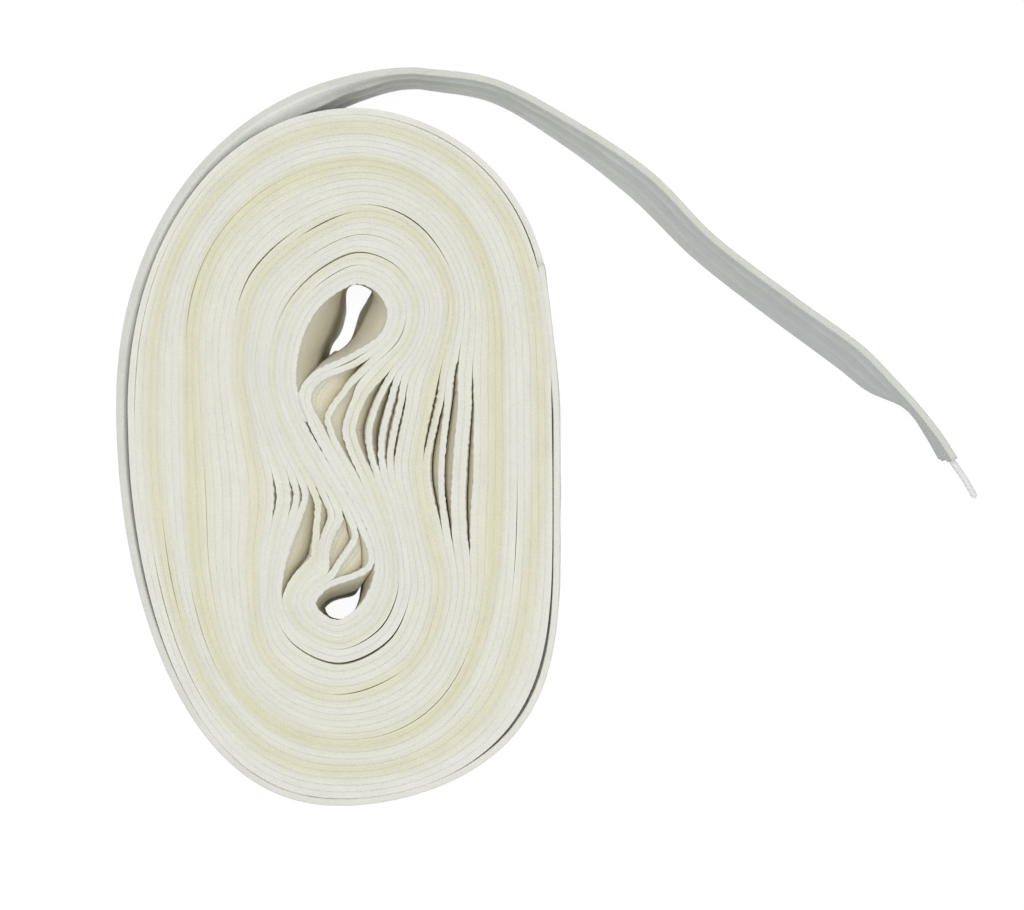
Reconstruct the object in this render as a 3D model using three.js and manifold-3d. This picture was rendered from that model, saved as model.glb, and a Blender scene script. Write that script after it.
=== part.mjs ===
// A roll of narrow curtain heading tape, lying on one wound end and squeezed flat sideways.
// Millimetres, +Z up. The origin is the middle of the roll on the surface that it lies on.
import * as THREE from 'three';
import { mergeVertices } from 'three/addons/utils/BufferGeometryUtils.js';
import Module from 'manifold-3d';

const wasm = await Module();
wasm.setup();

// Driving dimensions of the tape
const TAPE_WIDTH = 25;
const TAPE_THICKNESS = 1.2;
const CORD_DIAMETER = 1.3;

// Depths cut into the upper wound end
const BAND_DEPTH = 0.5;
const CUT_MARGIN = 1;
const MERGE_DISTANCE = 1e-4;

// How finely curves are divided
const QUARTER_STEPS = 22;
const BAND_QUARTER_STEPS = 16;
const EYE_STEPS = 40;
const GAP_STEPS = 9;
const BAND_STEPS = 56;
const FREE_END_STEPS = 34;
const CORD_SIDES = 8;
const CORD_STEPS = 5;

// Ovals seen along the winding axis: the outermost point on each side, then for each quarter
// how square it is towards the sides and towards the ends, 2 being a plain ellipse.
const BODY_OVAL = {
  top: [3.2, 66.3], right: [40.0, -2.7], bottom: [1.0, -64.8], left: [-39.6, 7.8],
  rightTop: [1.9, 4], rightBottom: [1.95, 4], leftBottom: [2.35, 2], leftTop: [1.87, 2],
};
const LOOSE_TURN_OVAL = {
  top: [3.2, 66.4], right: [42.2, -8.4], bottom: [1.0, -66.5], left: [-42.3, 9.7],
  rightTop: [1.75, 4], rightBottom: [1.8, 4], leftBottom: [2.3, 2], leftTop: [2.1, 2.1],
};
const OUTER_BAND = {
  outer: {
    top: [3.2, 63.8], right: [38.4, -2.7], bottom: [1.0, -60.8], left: [-35.9, 8.7],
    rightTop: [1.9, 4], rightBottom: [1.8, 4], leftBottom: [2.5, 2], leftTop: [1.9, 2],
  },
  inner: {
    top: [3.2, 61.6], right: [36.7, -2.7], bottom: [1.0, -58.7], left: [-33.8, 8.7],
    rightTop: [1.9, 4], rightBottom: [1.8, 4], leftBottom: [2.5, 2], leftTop: [1.9, 2],
  },
};
const MIDDLE_BAND = {
  outer: {
    top: [3.8, 56.6], right: [31.3, 16.3], bottom: [2.3, -56.0], left: [-29.2, 20.2],
    rightTop: [1.9, 2.6], rightBottom: [2.15, 4], leftBottom: [2.15, 4], leftTop: [1.9, 2.2],
  },
  inner: {
    top: [3.8, 54.2], right: [28.7, 16.3], bottom: [1.9, -53.8], left: [-26.2, 20.2],
    rightTop: [1.9, 2.6], rightBottom: [2.15, 4], leftBottom: [2.15, 4], leftTop: [1.9, 2.2],
  },
};

// The middle line of the innermost band, which has a waist on both sides, clockwise from its top
const INNER_BAND_WIDTH = 1.7;
const INNER_BAND = [
  { place: 'top', x: 3.4, y: 46.0 },
  { place: 'upper right', x: 14.1, y: 42.9 },
  { place: 'right shoulder', x: 21.3, y: 30.4 },
  { place: 'above the right waist', x: 18.1, y: 13.7 },
  { place: 'right waist', x: 15.2, y: -2.3 },
  { place: 'below the right waist', x: 17.1, y: -14.1 },
  { place: 'right foot', x: 19.5, y: -25.5 },
  { place: 'lower right', x: 14.1, y: -39.7 },
  { place: 'bottom', x: -0.6, y: -45.8 },
  { place: 'lower left', x: -13.5, y: -38.8 },
  { place: 'left foot', x: -16.3, y: -21.7 },
  { place: 'left waist', x: -15.3, y: -6.5 },
  { place: 'above the left waist', x: -17.2, y: 6.5 },
  { place: 'left shoulder', x: -18.7, y: 18.1 },
  { place: 'upper left', x: -14.8, y: 34.2 },
];

// The two eyes that the closed hole leaves: each place on the rim of the upper end, and where the
// same strand of the wall meets the lower end, which is squeezed tighter. Clockwise.
const UPPER_EYE = [
  { place: 'top', upper: [3.8, 32.5], lower: [2.3, 33.8] },
  { place: 'right of the top', upper: [6.7, 31.5], lower: [5.4, 32.7] },
  { place: 'right shoulder', upper: [8.9, 29.1], lower: [5.2, 31.0] },
  { place: 'right side', upper: [9.3, 26.6], lower: [3.8, 29.8] },
  { place: 'right foot', upper: [8.0, 23.4], lower: [2.1, 28.2] },
  { place: 'lower right', upper: [5.3, 20.9], lower: [1.2, 26.3] },
  { place: 'under the middle', upper: [2.1, 19.4], lower: [1.0, 23.5] },
  { place: 'lower left', upper: [-1.9, 17.7], lower: [0.2, 21.6] },
  { place: 'near the tip', upper: [-5.7, 15.0], lower: [-1.6, 20.4] },
  { place: 'tip', upper: [-7.7, 11.4], lower: [-3.0, 19.8] },
  { place: 'above the tip', upper: [-8.2, 15.4], lower: [-2.0, 21.2] },
  { place: 'left side', upper: [-7.4, 21.1], lower: [-0.6, 23.6] },
  { place: 'left shoulder', upper: [-5.2, 26.3], lower: [0.4, 26.3] },
  { place: 'upper left', upper: [-1.5, 30.4], lower: [0.6, 30.0] },
];
const LOWER_EYE = [
  { place: 'tip', upper: [7.0, -20.5], lower: [2.7, -27.4] },
  { place: 'under the tip', upper: [6.5, -23.6], lower: [2.5, -28.5] },
  { place: 'right side', upper: [5.2, -27.2], lower: [1.7, -30.2] },
  { place: 'lower right', upper: [2.5, -30.1], lower: [0.6, -31.8] },
  { place: 'bottom', upper: [-0.9, -31.2], lower: [-1.5, -32.5] },
  { place: 'lower left', upper: [-3.2, -30.2], lower: [-3.2, -31.9] },
  { place: 'left end', upper: [-4.1, -28.2], lower: [-3.8, -30.2] },
  { place: 'upper left', upper: [-2.9, -25.4], lower: [-2.9, -28.8] },
  { place: 'over the middle', upper: [1.2, -23.8], lower: [-0.2, -28.2] },
  { place: 'near the tip', upper: [5.1, -22.2], lower: [1.8, -27.5] },
];

// The gaps that the two inner bends have opened between turns: each is a lens through three points
// of the upper end, as wide as given at its bend, and fuller than a sine in between.
const GAP_FULLNESS = 0.7;
const FAN_GAPS = [
  { side: 'right', head: [-0.4, 12.3], bend: [-2.9, 8.7], foot: [-2.1, 4.4], width: 0.9, depth: 7 },
  { side: 'right', head: [2.7, 12.0], bend: [0.2, 7.2], foot: [1.5, 1.3], width: 1.9, depth: 11 },
  { side: 'right', head: [11.4, 16.7], bend: [5.1, 5.9], foot: [7.0, -3.6], width: 1.6, depth: 11 },
  { side: 'right', head: [14.4, 19.2], bend: [8.2, 5.3], foot: [10.5, -7.4], width: 1.4, depth: 10 },
  { side: 'right', head: [15.8, 19.2], bend: [10.8, 4.9], foot: [12.4, -7.8], width: 1.1, depth: 8 },
  { side: 'right', head: [16.5, 17.9], bend: [13.1, 4.6], foot: [14.8, -11.6], width: 0.6, depth: 5 },
  { side: 'right', head: [21.1, 11.0], bend: [18.4, -1.1], foot: [18.6, -10.8], width: 1.0, depth: 7 },
  { side: 'right', head: [24.5, 25.5], bend: [20.9, 1.1], foot: [22.0, -15.6], width: 1.3, depth: 10 },
  { side: 'right', head: [25.5, 13.3], bend: [23.9, -0.8], foot: [24.1, -21.7], width: 0.8, depth: 6 },
  { side: 'left', head: [-4.8, -8.2], bend: [-7.0, -16.5], foot: [-10.6, -30.8], width: 2.2, depth: 11 },
  { side: 'left', head: [-3.4, -6.8], bend: [-2.9, -12.2], foot: [-4.6, -17.9], width: 0.8, depth: 6 },
  { side: 'left', head: [0.8, -10.3], bend: [1.0, -15.0], foot: [-3.0, -20.0], width: 1.7, depth: 10 },
  { side: 'left', head: [4.8, -14.8], bend: [3.8, -18.8], foot: [-1.7, -22.6], width: 1.9, depth: 10 },
  { side: 'left', head: [-12.0, 2.5], bend: [-10.1, -5.9], foot: [-10.8, -14.1], width: 0.8, depth: 6 },
  { side: 'left', head: [-9.3, -0.6], bend: [-8.2, -3.1], foot: [-8.4, -7.4], width: 0.9, depth: 6 },
];

// The loose last turn starts where it leaves the body, this far round from its right-hand end
// towards its top, and reaches its crest after the left side
const LOOSE_START_SHARE = 0.17;
const LOOSE_CREST = [15.0, 73.9];

// The free end after the crest: outer face at the upper edge, and how far the lower edge
// stands in towards the roll
const FREE_END = [
  { place: 'crest', x: 15.0, y: 73.9, lean: 0.2 },
  { place: 'past the crest', x: 29.5, y: 71.8, lean: 0.8 },
  { place: 'turning down', x: 44.1, y: 64.4, lean: 1.8 },
  { place: 'over the roll edge', x: 59.7, y: 54.0, lean: 3.1 },
  { place: 'first straight', x: 71.6, y: 42.0, lean: 2.8 },
  { place: 'second straight', x: 86.8, y: 30.4, lean: 3.0 },
  { place: 'before the bend', x: 100.1, y: 20.7, lean: 3.1 },
  { place: 'bend', x: 107.0, y: 13.9, lean: 0.3 },
  { place: 'after the bend', x: 112.5, y: 7.2, lean: -1.5 },
  { place: 'near the cut', x: 116.1, y: 2.2, lean: -0.8 },
  { place: 'cut end', x: 117.8, y: -0.4, lean: -0.3 },
];

// The drawcord's short end, which leaves the cut end of the tape and droops a little
const CORD_GAP = 0.3;
const CORD_ROUTE = [
  { place: 'in the cut end', along: 0, out: 0, height: 19.6 },
  { place: 'middle', along: 4.2, out: 0.2, height: 19.4 },
  { place: 'tip', along: 8.4, out: 0.1, height: 18.9 },
];

const tapeFinish = new THREE.MeshStandardMaterial({ color: 0xe4e3da, roughness: 0.9, metalness: 0 });
const looseFinish = new THREE.MeshStandardMaterial({ color: 0xc6cac4, roughness: 0.9, metalness: 0 });
const cordFinish = new THREE.MeshStandardMaterial({ color: 0xdedcd6, roughness: 0.85, metalness: 0 });

// One quarter of an oval from one extreme point to the next. turn runs 0 to 1 on the way, and the
// two powers say how square the quarter is towards the side and towards the end.
function quarterPoint(oval, side, end, powers, turn) {
  const middle = [oval[end][0], oval[side][1]];
  const reachX = oval[side][0] - middle[0];
  const reachY = oval[end][1] - middle[1];
  const angle = turn * Math.PI / 2;
  const x = middle[0] + reachX * Math.sin(angle) ** (2 / powers[0]);
  const y = middle[1] + reachY * Math.cos(angle) ** (2 / powers[1]);
  return new THREE.Vector2(x, y);
}

// The whole oval, clockwise from its top
function ovalPoints(oval, steps) {
  const quarters = [
    { side: 'right', end: 'top', powers: oval.rightTop, back: false },
    { side: 'right', end: 'bottom', powers: oval.rightBottom, back: true },
    { side: 'left', end: 'bottom', powers: oval.leftBottom, back: false },
    { side: 'left', end: 'top', powers: oval.leftTop, back: true },
  ];
  const points = [];
  for (const { side, end, powers, back } of quarters) {
    for (let step = 0; step < steps; step += 1) {
      const turn = back ? 1 - step / steps : step / steps;
      points.push(quarterPoint(oval, side, end, powers, turn));
    }
  }
  return points;
}

// A closed mesh as a solid that can be cut
function solidOf(geometry) {
  const bare = geometry.index ? geometry.toNonIndexed() : geometry.clone();
  bare.deleteAttribute('normal');
  bare.deleteAttribute('uv');
  const merged = mergeVertices(bare, MERGE_DISTANCE);
  const vertProperties = new Float32Array(merged.attributes.position.array);
  const triVerts = new Uint32Array(merged.index.array);
  return new wasm.Manifold(new wasm.Mesh({ numProp: 3, vertProperties, triVerts }));
}

function geometryOf(solid) {
  const mesh = solid.getMesh();
  const geometry = new THREE.BufferGeometry();
  geometry.setAttribute('position', new THREE.BufferAttribute(new Float32Array(mesh.vertProperties), 3));
  geometry.setIndex(new THREE.BufferAttribute(new Uint32Array(mesh.triVerts), 1));
  geometry.computeVertexNormals();
  return geometry;
}

// A flat outline raised from one height to another. Its holes run the other way round.
function prism(outline, holes, low, high) {
  const shape = new THREE.Shape(outline);
  shape.holes = holes.map((hole) => new THREE.Path([...hole].reverse()));
  const geometry = new THREE.ExtrudeGeometry(shape, { depth: high - low, bevelEnabled: false });
  geometry.translate(0, 0, low);
  return geometry;
}

// A solid between a ring of points low down and a ring of as many points high up
function loft(lowRing, highRing, low, high) {
  const count = lowRing.length;
  const corners = [];
  lowRing.forEach((point) => corners.push(point.x, point.y, low));
  highRing.forEach((point) => corners.push(point.x, point.y, high));
  const faces = [];
  for (let step = 0; step < count; step += 1) {
    const next = (step + 1) % count;
    faces.push(step, next, count + next, step, count + next, count + step);
  }
  for (const [a, b, c] of THREE.ShapeUtils.triangulateShape(lowRing, [])) {
    faces.push(a, c, b);
  }
  for (const [a, b, c] of THREE.ShapeUtils.triangulateShape(highRing, [])) {
    faces.push(count + a, count + b, count + c);
  }
  const geometry = new THREE.BufferGeometry();
  geometry.setAttribute('position', new THREE.Float32BufferAttribute(corners, 3));
  geometry.setIndex(faces);
  return geometry;
}

// A smooth closed ring through the places of a table
function smoothRing(places, steps) {
  const points = places.map(([x, y]) => new THREE.Vector3(x, y, 0));
  const curve = new THREE.CatmullRomCurve3(points, true, 'centripetal');
  const ring = curve.getPoints(steps).slice(0, steps);
  return ring.map((point) => new THREE.Vector2(point.x, point.y));
}

// An eye runs right through the roll and narrows towards the lower end. The rings are turned to
// run anticlockwise, as the loft needs.
function eyeCutter(eye) {
  const upper = smoothRing(eye.map((row) => row.upper), EYE_STEPS).reverse();
  const lower = smoothRing(eye.map((row) => row.lower), EYE_STEPS).reverse();
  return loft(lower, upper, -CUT_MARGIN, TAPE_WIDTH + CUT_MARGIN);
}

// A gap between turns: a lens about a curve through its head, bend and foot
function gapCutter({ head, bend, foot, width, depth }) {
  const places = [head, bend, foot].map(([x, y]) => new THREE.Vector2(x, y));
  const curve = new THREE.SplineCurve(places);
  const nearSide = [];
  const farSide = [];
  for (let step = 1; step < GAP_STEPS; step += 1) {
    const share = step / GAP_STEPS;
    const middle = curve.getPoint(share);
    const along = curve.getTangent(share);
    const half = width / 2 * Math.sin(Math.PI * share) ** GAP_FULLNESS;
    nearSide.push(new THREE.Vector2(middle.x - along.y * half, middle.y + along.x * half));
    farSide.push(new THREE.Vector2(middle.x + along.y * half, middle.y - along.x * half));
  }
  const outline = [places[0], ...nearSide, places[2], ...farSide.reverse()];
  return prism(outline, [], TAPE_WIDTH - depth, TAPE_WIDTH + CUT_MARGIN);
}

// The turns of a band stand a little lower than their neighbours
function bandCutter(outer, inner) {
  return prism(outer, [inner], TAPE_WIDTH - BAND_DEPTH, TAPE_WIDTH + CUT_MARGIN);
}

// The innermost band's two edges, half its width to either side of its middle line
function innerBandEdge(offset) {
  const middle = smoothRing(INNER_BAND.map((row) => [row.x, row.y]), BAND_STEPS);
  return middle.map((point, step) => {
    const before = middle[(step + BAND_STEPS - 1) % BAND_STEPS];
    const after = middle[(step + 1) % BAND_STEPS];
    const along = after.clone().sub(before).normalize();
    return new THREE.Vector2(point.x - along.y * offset, point.y + along.x * offset);
  });
}

function woundTape() {
  let body = solidOf(prism(ovalPoints(BODY_OVAL, QUARTER_STEPS), [], 0, TAPE_WIDTH));
  for (const band of [OUTER_BAND, MIDDLE_BAND]) {
    const outer = ovalPoints(band.outer, BAND_QUARTER_STEPS);
    const inner = ovalPoints(band.inner, BAND_QUARTER_STEPS);
    body = body.subtract(solidOf(bandCutter(outer, inner)));
  }
  const outerEdge = innerBandEdge(INNER_BAND_WIDTH / 2);
  const innerEdge = innerBandEdge(-INNER_BAND_WIDTH / 2);
  body = body.subtract(solidOf(bandCutter(outerEdge, innerEdge)));
  for (const eye of [UPPER_EYE, LOWER_EYE]) {
    body = body.subtract(solidOf(eyeCutter(eye)));
  }
  for (const gap of FAN_GAPS) {
    body = body.subtract(solidOf(gapCutter(gap)));
  }
  return new THREE.Mesh(geometryOf(body), tapeFinish);
}

// The outer face of the loose turn, seen along the axis: down the right side, round the bottom,
// up the left side to the crest, then along the free end. Each point carries its lean.
function looseRoute() {
  const route = [];
  const add = (point, lean) => route.push({ x: point.x, y: point.y, lean });
  const oval = LOOSE_TURN_OVAL;
  const crest = { ...oval, top: LOOSE_CREST };
  for (let step = 0; step <= QUARTER_STEPS; step += 1) {
    const turn = 1 - LOOSE_START_SHARE * (1 - step / QUARTER_STEPS);
    add(quarterPoint(oval, 'right', 'top', oval.rightTop, turn), 0);
  }
  for (let step = 1; step <= QUARTER_STEPS; step += 1) {
    add(quarterPoint(oval, 'right', 'bottom', oval.rightBottom, 1 - step / QUARTER_STEPS), 0);
  }
  for (let step = 1; step <= QUARTER_STEPS; step += 1) {
    add(quarterPoint(oval, 'left', 'bottom', oval.leftBottom, step / QUARTER_STEPS), 0);
  }
  for (let step = 1; step < QUARTER_STEPS; step += 1) {
    const share = step / QUARTER_STEPS;
    add(quarterPoint(crest, 'left', 'top', oval.leftTop, 1 - share), FREE_END[0].lean * share);
  }
  const places = FREE_END.map((row) => new THREE.Vector3(row.x, row.y, row.lean));
  const curve = new THREE.CatmullRomCurve3(places, false, 'centripetal');
  for (const point of curve.getSpacedPoints(FREE_END_STEPS)) {
    add(point, point.z);
  }
  return route;
}

// Adds to each point of the route the direction that points in towards the roll
function withInward(route) {
  return route.map((point, step) => {
    const before = route[Math.max(step - 1, 0)];
    const after = route[Math.min(step + 1, route.length - 1)];
    const length = Math.hypot(after.x - before.x, after.y - before.y);
    const inX = (after.y - before.y) / length;
    const inY = (before.x - after.x) / length;
    return { ...point, inX, inY };
  });
}

// The sheet stands on its lower edge: four corners at each point of the route, joined by faces
function looseEnd() {
  const route = withInward(looseRoute());
  const corners = [];
  for (const { x, y, lean, inX, inY } of route) {
    corners.push(x, y, TAPE_WIDTH);
    corners.push(x + inX * TAPE_THICKNESS, y + inY * TAPE_THICKNESS, TAPE_WIDTH);
    corners.push(x + inX * (TAPE_THICKNESS + lean), y + inY * (TAPE_THICKNESS + lean), 0);
    corners.push(x + inX * lean, y + inY * lean, 0);
  }
  const faces = [];
  for (let step = 0; step < route.length - 1; step += 1) {
    for (let side = 0; side < 4; side += 1) {
      const a = step * 4 + side;
      const b = step * 4 + (side + 1) % 4;
      faces.push(a, b + 4, a + 4, a, b, b + 4);
    }
  }
  const last = (route.length - 1) * 4;
  faces.push(0, 2, 1, 0, 3, 2);
  faces.push(last, last + 1, last + 2, last, last + 2, last + 3);
  const geometry = new THREE.BufferGeometry();
  geometry.setAttribute('position', new THREE.Float32BufferAttribute(corners, 3));
  geometry.setIndex(faces);
  return new THREE.Mesh(geometryOf(solidOf(geometry)), looseFinish);
}

// The cord starts just clear of the cut end, in the middle of the tape's thickness
function drawcordEnd() {
  const end = withInward(looseRoute()).at(-1);
  const along = new THREE.Vector2(-end.inY, end.inX);
  const startX = end.x + end.inX * TAPE_THICKNESS / 2;
  const startY = end.y + end.inY * TAPE_THICKNESS / 2;
  const places = CORD_ROUTE.map((row) => {
    const reach = row.along + CORD_GAP;
    const x = startX + along.x * reach - end.inX * row.out;
    const y = startY + along.y * reach - end.inY * row.out;
    return new THREE.Vector3(x, y, row.height);
  });
  const section = new THREE.Shape();
  section.absarc(0, 0, CORD_DIAMETER / 2, 0, Math.PI * 2);
  const outline = new THREE.Shape(section.getPoints(CORD_SIDES / 4).slice(0, CORD_SIDES));
  const geometry = new THREE.ExtrudeGeometry(outline, {
    steps: CORD_STEPS,
    bevelEnabled: false,
    extrudePath: new THREE.CatmullRomCurve3(places),
  });
  return new THREE.Mesh(geometryOf(solidOf(geometry)), cordFinish);
}

const roll = new THREE.Group();
const pieces = { wound_tape: woundTape(), loose_end: looseEnd(), drawcord_end: drawcordEnd() };
for (const [name, piece] of Object.entries(pieces)) {
  piece.name = name;
  roll.add(piece);
}

export default roll;
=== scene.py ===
"""A roll of narrow curtain heading tape, squeezed flat sideways and lying on one wound end.

Its last turn is loose and runs off as a free end that stands on its edge. Metres, +Z up. The
tables are in millimetres, and MM turns them into metres.
"""

import bpy
import numpy as np
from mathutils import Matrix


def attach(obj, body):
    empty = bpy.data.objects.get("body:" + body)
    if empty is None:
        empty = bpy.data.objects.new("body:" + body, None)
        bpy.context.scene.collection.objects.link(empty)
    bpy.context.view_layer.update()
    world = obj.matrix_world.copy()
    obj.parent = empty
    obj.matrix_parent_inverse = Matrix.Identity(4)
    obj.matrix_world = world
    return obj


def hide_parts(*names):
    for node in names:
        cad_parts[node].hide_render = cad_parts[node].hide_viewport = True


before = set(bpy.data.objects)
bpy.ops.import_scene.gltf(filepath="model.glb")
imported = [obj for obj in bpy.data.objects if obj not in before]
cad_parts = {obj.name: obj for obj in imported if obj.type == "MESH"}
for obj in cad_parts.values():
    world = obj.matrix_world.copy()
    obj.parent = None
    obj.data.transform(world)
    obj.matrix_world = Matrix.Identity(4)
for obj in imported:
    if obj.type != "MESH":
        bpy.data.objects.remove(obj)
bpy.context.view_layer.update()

# The view is straight down on the upper wound end, from just over 0.6 m above it. The roll stands
# left of the middle, so the free end on the right is seen from its inner side.
MM = 0.001
VIEW_X = 33.06 * MM
VIEW_Y = 0.19 * MM
VIEW_HEIGHT = 650 * MM
VIEW_LENS = 115.6

camera = bpy.data.objects.new("camera", bpy.data.cameras.new("camera"))
camera.location = (VIEW_X, VIEW_Y, VIEW_HEIGHT)
camera.data.lens = VIEW_LENS
camera.data.clip_start = 0.01
camera.data.clip_end = 20
bpy.context.scene.collection.objects.link(camera)
bpy.context.scene.camera = camera

# The wound tape is one strip of woven polyester, about 7 m long, wound from the upper eye outwards,
# clockwise. The bundle was then pressed flat, so its inner turns have two eyes and a closed seam.
TAPE_WIDTH = 25 * MM
TAPE_THICKNESS = 1.2 * MM
TURNS = 28
TOP_Z = 25 * MM

# Clockwise from the right of the upper eye, in mm on the upper end: the rim of the hole, the outer
# face of the fifth turn, and how far each of the two is drawn in at the lower end.
STATIONS = [
    {"place": "right of the upper eye", "rim": (9.3, 27.4), "fifth": (15.4, 29.1),
     "drawn": (-5.5, 3.2), "tucked": (0, 0)},
    {"place": "its right foot", "rim": (8.0, 23.2), "fifth": (14.3, 22.0),
     "drawn": (-5.9, 4.8), "tucked": (0, 0)},
    {"place": "under its middle", "rim": (2.1, 19.4), "fifth": (8.9, 15.0),
     "drawn": (-1.1, 4.1), "tucked": (0.2, 0.4)},
    {"place": "near its tip", "rim": (-4.9, 15.8), "fifth": (5.1, 10.3),
     "drawn": (3.6, 4.9), "tucked": (1.4, -0.4)},
    {"place": "its tip", "rim": (-7.6, 11.8), "fifth": (3.4, 4.9),
     "drawn": (4.9, 8.1), "tucked": (1.9, -0.6)},
    {"place": "head of the seam", "rim": (-6.0, 6.8), "fifth": (4.6, 0.8),
     "drawn": (1.2, 1.5), "tucked": (1.7, 0.4)},
    {"place": "middle of the seam", "rim": (-0.5, -3.6), "fifth": (8.2, -7.0),
     "drawn": (0, 0), "tucked": (0.6, 0.2)},
    {"place": "foot of the seam", "rim": (5.2, -13.1), "fifth": (10.6, -15.4),
     "drawn": (-1.2, -2.0), "tucked": (0, 0)},
    {"place": "tip of the lower eye", "rim": (7.1, -20.1), "fifth": (11.4, -21.7),
     "drawn": (-4.3, -7.3), "tucked": (0, 0)},
    {"place": "under its tip", "rim": (6.3, -24.5), "fifth": (11.0, -26.8),
     "drawn": (-3.8, -4.3), "tucked": (0, 0)},
    {"place": "its lower right", "rim": (3.6, -28.9), "fifth": (7.8, -32.9),
     "drawn": (-2.2, -2.2), "tucked": (0, 0)},
    {"place": "its bottom", "rim": (0.0, -31.2), "fifth": (0.4, -36.7),
     "drawn": (-0.9, -1.2), "tucked": (0, 0)},
    {"place": "its lower left", "rim": (-2.7, -30.2), "fifth": (-7.2, -33.6),
     "drawn": (-0.3, -1.7), "tucked": (0, 0)},
    {"place": "its left end", "rim": (-4.2, -28.1), "fifth": (-10.8, -28.1),
     "drawn": (0.4, -2.2), "tucked": (0.6, 0)},
    {"place": "its upper left", "rim": (-2.1, -25.3), "fifth": (-10.6, -23.0),
     "drawn": (-0.4, -3.6), "tucked": (1.8, -0.6)},
    {"place": "over its middle", "rim": (2.7, -23.4), "fifth": (-9.1, -17.5),
     "drawn": (-1.8, -4.5), "tucked": (3.1, -0.9)},
    {"place": "near its tip again", "rim": (6.1, -21.7), "fifth": (-6.8, -11.8),
     "drawn": (-3.6, -5.7), "tucked": (2.8, -1.0)},
    {"place": "its tip again", "rim": (7.0, -19.4), "fifth": (-5.6, -7.6),
     "drawn": (-4.3, -8.0), "tucked": (1.2, -0.6)},
    {"place": "foot of the seam again", "rim": (5.1, -13.2), "fifth": (-6.7, -3.8),
     "drawn": (-1.2, -2.0), "tucked": (0, 0)},
    {"place": "middle of the seam again", "rim": (-0.6, -3.6), "fifth": (-9.7, 1.5),
     "drawn": (0, 0), "tucked": (0, 0)},
    {"place": "head of the seam again", "rim": (-5.9, 6.3), "fifth": (-12.2, 8.4),
     "drawn": (1.2, 1.5), "tucked": (0, 0)},
    {"place": "left of the upper eye", "rim": (-8.0, 13.5), "fifth": (-13.3, 15.4),
     "drawn": (5.4, 7.1), "tucked": (0.5, 0.5)},
    {"place": "its left side", "rim": (-7.0, 22.0), "fifth": (-12.5, 22.6),
     "drawn": (6.8, 2.8), "tucked": (0.8, 0.3)},
    {"place": "its left shoulder", "rim": (-3.8, 28.1), "fifth": (-9.1, 30.0),
     "drawn": (4.4, -0.2), "tucked": (0.4, 0)},
    {"place": "left of its top", "rim": (0.4, 31.5), "fifth": (-3.0, 35.9),
     "drawn": (-0.1, 1.3), "tucked": (0, 0)},
    {"place": "its top", "rim": (3.8, 32.7), "fifth": (4.0, 38.8),
     "drawn": (-1.5, 1.3), "tucked": (0, 0)},
    {"place": "right of its top", "rim": (7.2, 31.2), "fifth": (11.2, 36.1),
     "drawn": (-2.0, 1.4), "tucked": (0, 0)},
]

# The innermost yellow band runs between turns 11 and 12, with a waist on both sides
WAISTED_RING = [
    {"place": "top", "x": 3.4, "y": 46.0},
    {"place": "upper right", "x": 14.1, "y": 42.9},
    {"place": "right shoulder", "x": 21.3, "y": 30.4},
    {"place": "above the right waist", "x": 18.1, "y": 13.7},
    {"place": "right waist", "x": 15.2, "y": -2.3},
    {"place": "below the right waist", "x": 17.1, "y": -14.1},
    {"place": "right foot", "x": 19.5, "y": -25.5},
    {"place": "lower right", "x": 14.1, "y": -39.7},
    {"place": "bottom", "x": -0.6, "y": -45.8},
    {"place": "lower left", "x": -13.5, "y": -38.8},
    {"place": "left foot", "x": -16.3, "y": -21.7},
    {"place": "left waist", "x": -15.3, "y": -6.5},
    {"place": "above the left waist", "x": -17.2, "y": 6.5},
    {"place": "left shoulder", "x": -18.7, "y": 18.1},
    {"place": "upper left", "x": -14.8, "y": 34.2},
]

# Ovals that the outer turns follow: the outermost point on each side, then for each quarter how
# square it is towards the sides and towards the ends, 2 being a plain ellipse.
TWENTIETH_TURN = {
    "top": (3.8, 56.6), "right": (31.2, 16.3), "bottom": (2.3, -55.9), "left": (-29.3, 20.1),
    "powers": [(1.9, 2.6), (2.15, 4), (2.15, 4), (1.9, 2.2)],
}
LAST_TURN = {
    "top": (3.2, 66.3), "right": (41.9, -6.0), "bottom": (1.0, -65.9), "left": (-40.5, 7.8),
    "powers": [(1.75, 4), (1.92, 4), (2.35, 2), (2.1, 2.05)],
}

# How many turns lie inside each of the five rings that the winding is worked out from
RING_TURNS = np.array([0, 5, 11.5, 20, 28])

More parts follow.
